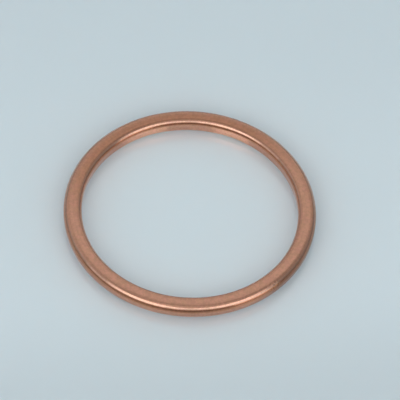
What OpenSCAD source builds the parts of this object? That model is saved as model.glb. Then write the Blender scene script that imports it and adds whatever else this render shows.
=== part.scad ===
// Solid copper ring gasket for the joint between an exhaust port and its pipe.
// One closed ring with upright inner and outer walls and round shoulders. Its upper
// and lower faces are alike: a narrow flat seat beside the inner shoulder, and a
// shallow crown that falls away from the seat to the fuller outer shoulder.
// The origin is on the ring's axis, in the plane of the lower seat, and +Z is up.

/* [Ring] */
// Outside diameter, the fit in the port's recess
ring_od = 50; // [40:0.5:70]
// Radial width of the section, from the outer wall to the bore
ring_w = 3.6; // [3.5:0.1:3.9]
// Height from the lower seat to the upper seat
ring_h = 3.4; // [3.4:0.1:4.5]

/* [Section] */
// Radius of the two shoulders on the outside
outer_r = 1.5; // [1:0.05:1.5]
// Radius of the two shoulders at the bore
inner_r = 1.2; // [1:0.05:1.3]
// Radius of the crown between the seat and the outer shoulder
crown_r = 5; // [5:0.5:30]
// Width of the flat seat pressed on each face
seat_w = 0.4; // [0.3:0.1:0.6]

/* [Quality] */
// Steps in one turn of the ring
ring_steps = 180; // [60:12:360]
// Steps in one turn of a shoulder
shoulder_steps = 48; // [24:8:96]

/* [Hidden] */

// Middle of the section, measured from the ring's axis
section_x = (ring_od - ring_w) / 2;
// Centre of the inner shoulder, measured from the section's middle towards the bore
inner_x = ring_w / 2 - inner_r;
inner_z = ring_h / 2 - inner_r;
// Outer edge of the seat, with the centre of the crown's arc straight below it
seat_x = seat_w - inner_x;
crown_z = ring_h / 2 - crown_r;
// Centre of the outer shoulder: its circle touches the wall's line and the crown's arc
outer_x = ring_w / 2 - outer_r;
outer_z = crown_z + sqrt(pow(crown_r - outer_r, 2) - pow(outer_x - seat_x, 2));
// Where the crown's arc runs into the outer shoulder with no corner
blend_x = seat_x + (outer_x - seat_x) * crown_r / (crown_r - outer_r);

// What an arc leaves out of the metal above and outside a corner point
module arc_cut(corner, centre, radius, steps) {
    difference() {
        translate(corner) square([ring_w, ring_h]);
        translate(centre) circle(r = radius, $fn = steps);
    }
}

// All that the crown and the two shoulders leave out of the upper half
module face_cuts() {
    arc_cut([seat_x, 0], [seat_x, crown_z], crown_r, ring_steps);
    arc_cut([blend_x, outer_z], [outer_x, outer_z], outer_r, shoulder_steps);
    mirror([1, 0])
        arc_cut([inner_x, inner_z], [inner_x, inner_z], inner_r, shoulder_steps);
}

// Whole section, centred on its own middle, with its outer side towards +X
module section() {
    difference() {
        square([ring_w, ring_h], center = true);
        face_cuts();
        mirror([0, 1]) face_cuts();
    }
}

module gasket_ring() {
    color([0.72, 0.45, 0.32])
        rotate_extrude($fn = ring_steps)
            translate([section_x, ring_h / 2]) section();
}

gasket_ring();
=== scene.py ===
import math

import bpy
import numpy as np
from mathutils import Matrix, Vector


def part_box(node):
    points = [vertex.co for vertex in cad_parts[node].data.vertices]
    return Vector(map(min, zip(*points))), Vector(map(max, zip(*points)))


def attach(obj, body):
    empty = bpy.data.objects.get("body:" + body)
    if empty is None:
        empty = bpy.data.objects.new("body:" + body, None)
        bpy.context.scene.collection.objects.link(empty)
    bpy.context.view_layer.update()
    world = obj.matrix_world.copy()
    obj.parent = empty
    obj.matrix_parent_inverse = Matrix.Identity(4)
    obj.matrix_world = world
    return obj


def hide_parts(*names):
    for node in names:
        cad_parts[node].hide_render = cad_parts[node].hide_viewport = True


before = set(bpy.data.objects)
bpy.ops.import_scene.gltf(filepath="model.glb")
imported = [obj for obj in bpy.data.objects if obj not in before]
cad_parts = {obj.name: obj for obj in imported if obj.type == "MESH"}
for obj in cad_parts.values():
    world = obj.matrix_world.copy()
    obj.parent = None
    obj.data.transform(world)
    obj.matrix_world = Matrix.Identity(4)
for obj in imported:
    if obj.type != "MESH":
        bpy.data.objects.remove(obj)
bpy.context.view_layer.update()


# Camera
# A long lens looks down on the ring, which lies a little left of the picture's middle and below it,
# with the horizon turned slightly. Every part of the ring is then seen at nearly the same angle.
PICTURE = 400                     # pixels across the picture
RING_ACROSS = 252.9               # pixels that the ring's diameter takes up
RING_MIDDLE = (189.8, 213.05)     # pixel at the middle of the ring
CAMERA_ELEVATION = math.radians(52.8)
CAMERA_ROLL = math.radians(3.7)
CAMERA_DISTANCE = 1.5             # metres from the ring
CAMERA_REACH = 10                 # metres that it sees
SENSOR = 36.0                     # millimetres across

ring_low, ring_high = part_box("gasket_ring")
ring_diameter = ring_high.x - ring_low.x
ring_height = ring_high.z - ring_low.z
pixels_per_metre = RING_ACROSS / ring_diameter

forward = Vector((0, math.cos(CAMERA_ELEVATION), -math.sin(CAMERA_ELEVATION)))
level_right = Vector((1, 0, 0))
level_up = level_right.cross(forward)
right = level_right * math.cos(CAMERA_ROLL) + level_up * math.sin(CAMERA_ROLL)
up = level_up * math.cos(CAMERA_ROLL) - level_right * math.sin(CAMERA_ROLL)
aim = Vector((0, 0, ring_height / 2))
aim += right * ((PICTURE / 2 - RING_MIDDLE[0]) / pixels_per_metre)
aim += up * ((RING_MIDDLE[1] - PICTURE / 2) / pixels_per_metre)

camera_data = bpy.data.cameras.new("camera")
camera_data.sensor_width = SENSOR
camera_data.lens = CAMERA_DISTANCE * pixels_per_metre / PICTURE * SENSOR
camera_data.clip_end = CAMERA_REACH
camera = bpy.data.objects.new("camera", camera_data)
camera.matrix_world = Matrix.Translation(aim - forward * CAMERA_DISTANCE) @ Matrix(
    (right, up, -forward)).transposed().to_4x4()
bpy.context.scene.collection.objects.link(camera)
bpy.context.scene.camera = camera


# Ring
# The whole gasket: one closed ring of solid copper, pressed to shape between two dies, so that its
# shoulders are burnished and its crowned faces are left matt. It has no joint and lies loose.
RING_WIDTH = 0.0036               # metres from the bore to the outside
OUTER_SHOULDER = 0.0015           # radius of the two shoulders outside
INNER_SHOULDER = 0.0012           # and of the two at the bore
CROWN_RADIUS = 0.005
SEAT_WIDTH = 0.0004               # of the flat seat between the crown and the inner shoulder
TURN_STEPS = 720                  # sections in the whole turn
SHOULDER_STEPS = 25               # points on each shoulder
CROWN_STEPS = 7                   # and on each crown


def arc(middle_x, middle_z, radius, start, end, steps):
    """Points of an arc: its middle plus its radius along (cos a, sin a), a from start to end."""
    a = np.linspace(start, end, steps)
    return middle_x + radius * np.cos(a), middle_z + radius * np.sin(a)


def ring_section(width, height, outer, inner, crown, seat):
    """Outline of the section round its own middle, as x towards the outside and z up.

    The upper half is the outer shoulder's arc, the crown's arc that it touches, the flat seat and
    the inner shoulder's arc, each running into the next with no corner. The lower half mirrors it.
    """
    inner_x, inner_z = inner - width / 2, height / 2 - inner
    crown_x, crown_z = inner_x + seat, height / 2 - crown
    outer_x = width / 2 - outer
    outer_z = crown_z + math.sqrt((crown - outer) ** 2 - (outer_x - crown_x) ** 2)
    blend = math.acos((outer_x - crown_x) / (crown - outer))
    quarter = math.pi / 2
    arcs = [
        arc(outer_x, outer_z, outer, 0, blend, SHOULDER_STEPS),
        arc(crown_x, crown_z, crown, blend, quarter, CROWN_STEPS),
        arc(inner_x, inner_z, inner, quarter, math.pi, SHOULDER_STEPS),
    ]
    x = np.concatenate([arcs[0][0], arcs[1][0][1:], arcs[2][0]])
    z = np.concatenate([arcs[0][1], arcs[1][1][1:], arcs[2][1]])
    return np.concatenate([x, x[::-1]]), np.concatenate([z, -z[::-1]])


def ring_mesh(name, x, z, middle, turns):
    """Closed ring: section point j of turn i lies at angle 2 pi i / turns, at radius middle + x[j].

    The map called "grain" holds the angle as a share of the turn and the way round the section in
    metres, so that its second number grows across the grain.
    """
    count = len(x)
    angle = np.linspace(0, 2 * math.pi, turns, endpoint=False)[:, None]
    radius = (middle + x)[None, :]
    height = np.broadcast_to(z, (turns, count))
    points = np.stack([radius * np.cos(angle), radius * np.sin(angle), height], -1)
    i, j = np.meshgrid(np.arange(turns), np.arange(count), indexing="ij")
    next_i, next_j = (i + 1) % turns, (j + 1) % count
    corners = np.stack([i * count + j, next_i * count + j, next_i * count + next_j, i * count + next_j], -1)
    mesh = bpy.data.meshes.new(name)
    mesh.from_pydata(points.reshape(-1, 3), [], corners.reshape(-1, 4))
    mesh.polygons.foreach_set("use_smooth", np.ones(len(mesh.polygons), bool))

    steps = np.hypot(np.diff(x, append=x[0]), np.diff(z, append=z[0]))
    way = np.concatenate([[0], np.cumsum(steps)])
    turn = np.stack([i, i + 1, i + 1, i], -1) / turns
    across = np.stack([way[j], way[j], way[j + 1], way[j + 1]], -1)
    grain_map = mesh.uv_layers.new(name="grain")
    grain_map.data.foreach_set("uv", np.stack([turn, across], -1).astype(np.float32).ravel())
    mesh.update()
    ring = bpy.data.objects.new(name, mesh)
    bpy.context.scene.collection.objects.link(ring)
    return ring


section_x, section_z = ring_section(
    RING_WIDTH, ring_height, OUTER_SHOULDER, INNER_SHOULDER, CROWN_RADIUS, SEAT_WIDTH)
copper_ring = ring_mesh("copper_ring", section_x, section_z + ring_height / 2,
                        (ring_diameter - RING_WIDTH) / 2, TURN_STEPS)

# The finish is worked out from a point's place, its distance from the axis and its facing, which is
# how far its surface turns upwards: 1 on the upper face, 0 on the walls and below 0 underneath. A
# shade multiplies the copper's colour. Lengths are in metres.
copper = bpy.data.materials.new("copper")
copper.use_nodes = True
finish = copper.node_tree


def add_node(tree, kind, inputs, **settings):
    """New node in a tree. An input that is a socket is linked, any other is a value."""
    node = tree.nodes.new("ShaderNode" + kind)
    for setting, value in settings.items():
        setattr(node, setting, value)
    for name, value in inputs.items():
        if isinstance(value, bpy.types.NodeSocket):
            tree.links.new(value, node.inputs[name])
        else:
            node.inputs[name].default_value = value
    return node


def remap(value, low, high, to_low, to_high):
    """Smooth step from to_low, where value is low, to to_high, where it is high."""
    ends = {"From Min": low, "From Max": high, "To Min": to_low, "To Max": to_high}
    node = add_node(value.id_data, "MapRange", {"Value": value, **ends}, interpolation_type="SMOOTHSTEP")
    return node.outputs["Result"]


def combine(operation, first, second):
    """Sum, product or the like of two numbers, at least one of which comes from the tree."""
    tree = (first if isinstance(first, bpy.types.NodeSocket) else second).id_data
    return add_node(tree, "Math", {0: first, 1: second}, operation=operation).outputs[0]


def multiply(first, second):
    """Product of two vectors or colours, part by part."""
    node = add_node(first.id_data, "VectorMath", {0: first, 1: second}, operation="MULTIPLY")
    return node.outputs["Vector"]


def scaled(vector, share):
    """A vector or colour, all of it times a share from the tree."""
    node = add_node(share.id_data, "VectorMath", {0: vector, "Scale": share}, operation="SCALE")
    return node.outputs["Vector"]


def along(spot, way):
    """How far a spot or a direction reaches along a way: the dot product of the two."""
    node = add_node(spot.id_data, "VectorMath", {0: spot, 1: way}, operation="DOT_PRODUCT")
    return node.outputs["Value"]


def noise(spot, steps, detail, roughness):
    """Soft noise round one half, with that many steps to a unit of the spot's coordinates."""
    inputs = {"Vector": spot, "Scale": steps, "Detail": detail, "Roughness": roughness}
    return add_node(spot.id_data, "TexNoise", inputs).outputs["Fac"]


def ramp(value, stops):
    """Colour that follows a value through stops, each of which is a level and its colour."""
    node = add_node(value.id_data, "ValToRGB", {"Fac": value})
    for level, _ in stops[2:]:
        node.color_ramp.elements.new(level)
    for element, (level, colour) in zip(node.color_ramp.elements, stops):
        element.position = level
        element.color = colour
    return node.outputs["Color"]


coordinates = add_node(finish, "TexCoord", {}).outputs
place = coordinates["Object"]
place_parts = add_node(finish, "SeparateXYZ", {0: place}).outputs
facing = add_node(finish, "SeparateXYZ", {0: coordinates["Normal"]}).outputs["Z"]
from_axis = multiply(place, (1, 1, 0))
radius = add_node(finish, "VectorMath", {0: from_axis}, operation="LENGTH").outputs["Value"]
outer_radius = ring_diameter / 2
bore_radius = outer_radius - RING_WIDTH
outside = remap(radius, bore_radius, outer_radius, 0, 1)

# Fine grain that runs round the ring, fine specks, and soft patches of a browner and a pinker copper.
ALONG_GRAIN = 60                  # steps of the grain in a metre along the ring
ACROSS_GRAIN = 2500               # and across it
PATCHES_IN_METRE = 650
SPECKS_IN_METRE = 1900
NOISE_ENDS = (0.3, 0.7)           # levels between which nearly all of a noise lies
# The browner copper and the pinker one, each after the level of the patches from which it is whole.
COPPER_TONES = ((0.35, (0.71, 0.365, 0.230, 1)), (0.65, (0.745, 0.363, 0.250, 1)))
GRAIN_SHADES = (0.95, 1.04)
SPECK_SHADES = (0.92, 1.08)

section_way = add_node(finish, "UVMap", {}, uv_map="grain").outputs["UV"]
across_grain = add_node(finish, "SeparateXYZ", {0: section_way}).outputs["Y"]
grain_place = add_node(finish, "CombineXYZ", {
    "X": place_parts["X"], "Y": place_parts["Y"], "Z": across_grain}).outputs["Vector"]
place_in_steps = multiply(grain_place, (ALONG_GRAIN, ALONG_GRAIN, ACROSS_GRAIN))
grain = noise(place_in_steps, 1, detail=4, roughness=0.6)
patches = noise(place, PATCHES_IN_METRE, detail=3, roughness=0.6)
specks = noise(place, SPECKS_IN_METRE, detail=2, roughness=0.5)
tone = ramp(patches, COPPER_TONES)
grain_shade = remap(grain, *NOISE_ENDS, *GRAIN_SHADES)
speck_shade = remap(specks, *NOISE_ENDS, *SPECK_SHADES)

# Upper shoulders, with painted highlight and painted shade: paler beside the face, where the lamps'
# highlights fall, and a deeper brown on their sides, where darker surroundings are mirrored.
SIDE_PAINTED_SHADE = (0.76, 0.65, 0.54, 1)
PAINTED_HIGHLIGHT_TINT = (0.79, 0.95, 1.08, 1)
FACE_SHADE = (1, 1, 1, 1)
# Each shade after its facing.
SHOULDER_PAINTED_SHADES = ((0.30, SIDE_PAINTED_SHADE), (0.58, SIDE_PAINTED_SHADE), (0.70, PAINTED_HIGHLIGHT_TINT), (0.90, FACE_SHADE))

# painted highlight and painted shade of the upper shoulders, after their facing
shoulder_painted_shade = ramp(facing, SHOULDER_PAINTED_SHADES)

# Bore wall, with two brighter stretches on the far side: painted reflections, standing in for light that
# the floor throws back onto the wall there. Each has the degrees from the far side to its middle, which are
# positive to the right, and the degrees from there to its end.
BORE_WALL_SHADE = 0.95
PAINTED_REFLECTION_SHADE = 1.34
PAINTED_REFLECTION_LEFT = (-28, 17)
PAINTED_REFLECTION_RIGHT = (20, 13)
PAINTED_REFLECTION_CORE = 0.997            # share of the bore's radius, along that way, where the painted reflection is whole


def painted_reflection_share(turn, reach):
    """Share of painted reflection on the bore wall: 1 at that turn from the far side, 0 past its reach."""
    way = (math.sin(math.radians(turn)), math.cos(math.radians(turn)), 0)
    end = bore_radius * math.cos(math.radians(reach))
    return remap(along(place, way), end, bore_radius * PAINTED_REFLECTION_CORE, 0, 1)


# painted reflections: the bore wall is brightened in two stretches
painted_reflection = combine("MAXIMUM", painted_reflection_share(*PAINTED_REFLECTION_LEFT), painted_reflection_share(*PAINTED_REFLECTION_RIGHT))
bore_shade = remap(painted_reflection, 0, 1, BORE_WALL_SHADE, PAINTED_REFLECTION_SHADE)

# Walls, lower shoulders and underside, with painted shade and painted light: the outer wall darker than the
# bore wall, and the lower shoulders and underside brighter than the walls above them, after how bright the
# floor that each mirrors is.
OUTER_WALL_SHADE = 0.84
LOWER_PAINTED_LIGHT = 1.3
LOWER_FACING = (-0.4, 0)          # facing up to which that shade is whole, and where it ends
WALL_FACING = (0.08, 0.30)        # facing where a wall's shade starts to fade, and where it ends

bore_excess = combine("SUBTRACT", bore_shade, OUTER_WALL_SHADE)
side_shade = combine("SUBTRACT", bore_shade, combine("MULTIPLY", bore_excess, outside))
wall_painted_shade = combine("MULTIPLY", side_shade, remap(facing, *LOWER_FACING, LOWER_PAINTED_LIGHT, 1))
wall = remap(facing, *WALL_FACING, 1, 0)
# A colour Mix node's sockets go by number: 0 is its factor, 6 and 7 its colours and 2 its result.
# painted shade and painted light of the shoulders and walls, chosen by facing
painted_shade = add_node(finish, "Mix", {0: wall, 6: shoulder_painted_shade, 7: wall_painted_shade}, data_type="RGBA").outputs[2]

# Painted shade on a stretch of the outside on the right, where the shadowed floor beside it is mirrored.
RIGHT_SHADE_WAY = (0.94, -0.34, 0)       # from the axis to the middle of the stretch
RIGHT_SHADE_ENDS = (0.0195, 0.0240)      # how far along it the painted shade begins, and is darkest
RIGHT_SHADE_FACING = (0.3, 0.6)          # facing where it starts to fade, and where it ends
RIGHT_SHADE_LOSS = 0.34                  # share of the brightness that is lost there

right_painted_shade_span = combine("MULTIPLY", remap(along(place, RIGHT_SHADE_WAY), *RIGHT_SHADE_ENDS, 0, RIGHT_SHADE_LOSS), outside)
right_painted_shade = combine("MULTIPLY", right_painted_shade_span, remap(facing, *RIGHT_SHADE_FACING, 1, 0))
# The grain and specks are the copper's own; the painted shade on the right is taken off with them.
surface_shade = combine("MULTIPLY", combine("SUBTRACT", grain_shade, right_painted_shade), speck_shade)
colour_before_far_shade = multiply(tone, scaled(painted_shade, surface_shade))

# Painted shade on the face beside the bore, on the far side: darker and browner there, standing in for less
# light on that side.
FAR_SHADE_WAY = (-0.3, 0.95, 0)     # from the axis to the side with the most painted shade
FAR_SHADE_FULL = 0.018              # how far along it the painted shade is whole
FAR_SHADE_ENDS = (0.0229, 0.0240)   # distance from the axis where it starts to fade, and where it ends
FAR_SHADE_FACING = (0.88, 0.97)     # facing where it begins, and where it is whole
FAR_SHADE_LOSS = (0.20, 0.27, 0.35) # share of the red, green and blue that is lost there

beside_bore = combine("MULTIPLY", remap(radius, *FAR_SHADE_ENDS, 1, 0), remap(facing, *FAR_SHADE_FACING, 0, 1))
far_painted_shade = combine("MULTIPLY", beside_bore, remap(along(place, FAR_SHADE_WAY), 0, FAR_SHADE_FULL, 0, 1))
left_over = add_node(finish, "VectorMath", {0: (1, 1, 1), 1: scaled(FAR_SHADE_LOSS, far_painted_shade)},
                     operation="SUBTRACT").outputs["Vector"]
colour = multiply(colour_before_far_shade, left_over)

# Scuff near the right front, broken up by the specks.
SCUFF_PLACE = (0.0174, -0.0174, 0.0024)
SCUFF_REACH = 0.0025              # from its middle to its end
SCUFF_SPECKS = (0.4, 0.6)         # levels of the specks that it leaves out, and that it takes in whole

from_scuff = add_node(finish, "VectorMath", {0: place, 1: SCUFF_PLACE}, operation="DISTANCE")
near_scuff = remap(from_scuff.outputs["Value"], 0, SCUFF_REACH, 1, 0)
scuff = combine("MULTIPLY", near_scuff, remap(specks, *SCUFF_SPECKS, 0, 1))

# Gloss and relief: a matt upper face, smooth shoulders, walls and underside, the grain and the scuff,
# all under a clear film.
FACE_ROUGHNESS = 0.32
SHOULDER_ROUGHNESS = 0.15
FACE_FACING = (0.84, 0.96)        # facing where the face begins, and where it is fully matt
GRAIN_ROUGHNESS = (-0.02, 0.04)   # what the grain's troughs and ridges add
SCUFF_ROUGHNESS = 0.25
SCUFF_RELIEF = 0.5                # height of the scuff in the grain's own height
GRAIN_HEIGHT = 0.00002
RELIEF_STRENGTH = 0.25
FILM_SHARE = 0.5
FILM_ROUGHNESS = 0.1

matt = remap(facing, *FACE_FACING, SHOULDER_ROUGHNESS, FACE_ROUGHNESS)
grained = combine("ADD", matt, remap(grain, *NOISE_ENDS, *GRAIN_ROUGHNESS))
roughness = combine("ADD", grained, combine("MULTIPLY", scuff, SCUFF_ROUGHNESS))
relief = combine("ADD", grain, combine("MULTIPLY", scuff, SCUFF_RELIEF))
bump = add_node(finish, "Bump", {"Strength": RELIEF_STRENGTH, "Distance": GRAIN_HEIGHT, "Height": relief})

shader = finish.nodes["Principled BSDF"]
shader.inputs["Metallic"].default_value = 1
shader.inputs["Coat Weight"].default_value = FILM_SHARE
shader.inputs["Coat Roughness"].default_value = FILM_ROUGHNESS
finish.links.new(colour, shader.inputs["Base Color"])
finish.links.new(roughness, shader.inputs["Roughness"])
finish.links.new(bump.outputs["Normal"], shader.inputs["Normal"])
copper_ring.data.materials.append(copper)

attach(copper_ring, "root")
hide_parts("gasket_ring")


# Floor
# A pale blue grey board with a faint gloss, on which the ring lies. It is milky, so that light spreads
# inside it, also close to the ring. It has a faint painted glow of its own, which lightens its shadows, and
# painted shade that makes it dimmer in front. It isn't part of the gasket.
FLOOR_SIDE = 3.0
FLOOR_COLOUR = (0.755, 0.885, 0.945, 1)
FLOOR_PAINTED_GLOW = 0.033
FLOOR_ROUGHNESS = 0.10
FLOOR_IOR = 1.9
FLOOR_DEPTH = 0.013               # how far light spreads inside the milky board
FLOOR_SPREAD = (0.5, 1, 1.2)      # share of that depth for red, green and blue light
FLOOR_FRONT = (0.15, -0.99, 0)    # way from the ring to where the floor is dimmest, in front
FLOOR_FRONT_ENDS = (0.015, 0.05)  # how far along it the floor starts to dim, and is dimmest
FLOOR_FRONT_PAINTED_SHADE = 0.86

half = FLOOR_SIDE / 2
floor_mesh = bpy.data.meshes.new("floor")
floor_mesh.from_pydata([(-half, -half, 0), (half, -half, 0), (half, half, 0), (-half, half, 0)],
                       [], [(0, 1, 2, 3)])
floor = bpy.data.objects.new("floor", floor_mesh)
bpy.context.scene.collection.objects.link(floor)
board = bpy.data.materials.new("board")
board.use_nodes = True
floor_place = add_node(board.node_tree, "TexCoord", {}).outputs["Object"]
# painted shade: the floor's colour dims in front
floor_painted_shade = remap(along(floor_place, FLOOR_FRONT), *FLOOR_FRONT_ENDS, 1, FLOOR_FRONT_PAINTED_SHADE)
board_shader = board.node_tree.nodes["Principled BSDF"]
board.node_tree.links.new(scaled(FLOOR_COLOUR[:3], floor_painted_shade), board_shader.inputs["Base Color"])
# painted glow: the board gives off light of its own, though it is no lamp
board_shader.inputs["Emission Color"].default_value = FLOOR_COLOUR
board_shader.inputs["Emission Strength"].default_value = FLOOR_PAINTED_GLOW
board_shader.inputs["Roughness"].default_value = FLOOR_ROUGHNESS
board_shader.inputs["IOR"].default_value = FLOOR_IOR
board_shader.subsurface_method = "BURLEY"
board_shader.inputs["Subsurface Weight"].default_value = 1
board_shader.inputs["Subsurface Radius"].default_value = FLOOR_SPREAD
board_shader.inputs["Subsurface Scale"].default_value = FLOOR_DEPTH
floor_mesh.materials.append(board)


# Lamps
# Two wide softboxes in front of the ring, to the left and the right, whose ends fade out, with a fill
# between them. A weak one hangs nearly overhead and another high behind. A narrow one and a fill stand
# low on the right, and another fill on the left. All of them face the ring.
LAMP_DISTANCE = 1.2
# Each lamp has the degrees from the front to it, which are positive to the right, the degrees from
# the floor up to it, its metres across and tall, and its brightness. Its watts are pi times its area
# times that brightness.
LAMPS = {
    "left_softbox": (-34, 40, 1.16, 0.68, 1.40),
    "right_softbox": (42, 40, 1.14, 0.68, 1.26),
    "middle_fill": (3, 40, 0.44, 0.68, 0.62),
    "top_softbox": (4, 67, 1.00, 0.34, 0.34),
    "back_softbox": (180, 62, 1.00, 0.48, 0.28),
    "low_softbox": (54, 16, 0.68, 0.40, 0.84),
    "right_fill": (48, 9, 1.20, 0.36, 0.14),
    "left_fill": (-67, 24, 0.60, 0.52, 0.28),
}
FADED_LAMPS = ("left_softbox", "right_softbox")
FADE_ENDS = (0.15, 0.5)           # share of the width, from the middle, where the fade starts and ends
FADED_END = 0.30                  # share of the brightness that is left at a lamp's two ends


def fade(lamp_data):
    """Dims a lamp smoothly towards its two ends. Its width runs from 0 at one end to 1 at the other."""
    lamp_data.use_nodes = True
    tree = lamp_data.node_tree
    spot = add_node(tree, "NewGeometry", {}).outputs["Parametric"]
    across = add_node(tree, "SeparateXYZ", {0: spot}).outputs["X"]
    from_middle = add_node(tree, "Math", {0: combine("SUBTRACT", across, 1 / 2)}, operation="ABSOLUTE")
    strength = remap(from_middle.outputs[0], *FADE_ENDS, 1, FADED_END)
    tree.links.new(strength, tree.nodes["Emission"].inputs["Strength"])


for name, (degrees_right, degrees_up, across, tall, brightness) in LAMPS.items():
    lamp_data = bpy.data.lights.new(name, "AREA")
    lamp_data.shape = "RECTANGLE"
    lamp_data.size = across
    lamp_data.size_y = tall
    lamp_data.energy = math.pi * across * tall * brightness
    if name in FADED_LAMPS:
        fade(lamp_data)
    lamp = bpy.data.objects.new(name, lamp_data)
    turn, rise = math.radians(degrees_right), math.radians(degrees_up)
    lamp.location = LAMP_DISTANCE * Vector(
        (math.sin(turn) * math.cos(rise), -math.cos(turn) * math.cos(rise), math.sin(rise)))
    lamp.rotation_euler = (-lamp.location).to_track_quat("-Z", "Y").to_euler()
    lamp.visible_camera = False
    bpy.context.scene.collection.objects.link(lamp)


# Room
# Pale, slightly cool walls all round, which the copper mirrors. They are brightest well above the
# floor on the left and behind, and dimmer near the floor, overhead, on the right and low in front.
# A pair of ends is how far the direction from the ring, of length 1, reaches along Z, Y or a way.
ROOM_COLOUR = (0.965, 1, 1.015, 1)
ROOM_LEVEL = 0.52
ROOM_RISE = (0, 0.5)              # along Z, from the floor's height to the full level
ROOM_FLOOR_SHARE = 0.68           # share of the level at the floor's height
ROOM_TOP = (0.65, 0.95)           # along Z, from the full level to the dim ceiling
ROOM_TOP_SHARE = 0.76
RIGHT_CORNER = (1, -0.6, 0)       # way to the dim corner on the right
RIGHT_CORNER_ENDS = (-0.1, 0.6)   # along it, from the full level to the dimmest
RIGHT_CORNER_SHARE = 0.68
LOW_FRONT_RISE = (0.12, 0.45)     # along Z, from the dimmest of the low front to its end
LOW_FRONT_ENDS = (-0.5, 0.1)      # along Y, likewise
LOW_FRONT_LOSS = 0.10             # share of the level that is lost there

room = bpy.data.worlds.new("room")
room.use_nodes = True
direction = add_node(room.node_tree, "TexCoord", {}).outputs["Generated"]
heading = add_node(room.node_tree, "SeparateXYZ", {0: direction}).outputs
lower_room = remap(heading["Z"], *ROOM_RISE, ROOM_LEVEL * ROOM_FLOOR_SHARE, ROOM_LEVEL)
whole_room = combine("MULTIPLY", lower_room, remap(heading["Z"], *ROOM_TOP, 1, ROOM_TOP_SHARE))
corner = remap(along(direction, RIGHT_CORNER), *RIGHT_CORNER_ENDS, 1, RIGHT_CORNER_SHARE)
near_floor = remap(heading["Z"], *LOW_FRONT_RISE, LOW_FRONT_LOSS, 0)
low_front = combine("MULTIPLY", remap(heading["Y"], *LOW_FRONT_ENDS, 1, 0), near_floor)
room_light = combine("MULTIPLY", combine("MULTIPLY", whole_room, corner),
                     combine("SUBTRACT", 1, low_front))
background = room.node_tree.nodes["Background"]
background.inputs["Color"].default_value = ROOM_COLOUR
room.node_tree.links.new(room_light, background.inputs["Strength"])
bpy.context.scene.world = room

bpy.context.scene.view_settings.view_transform = "Standard"
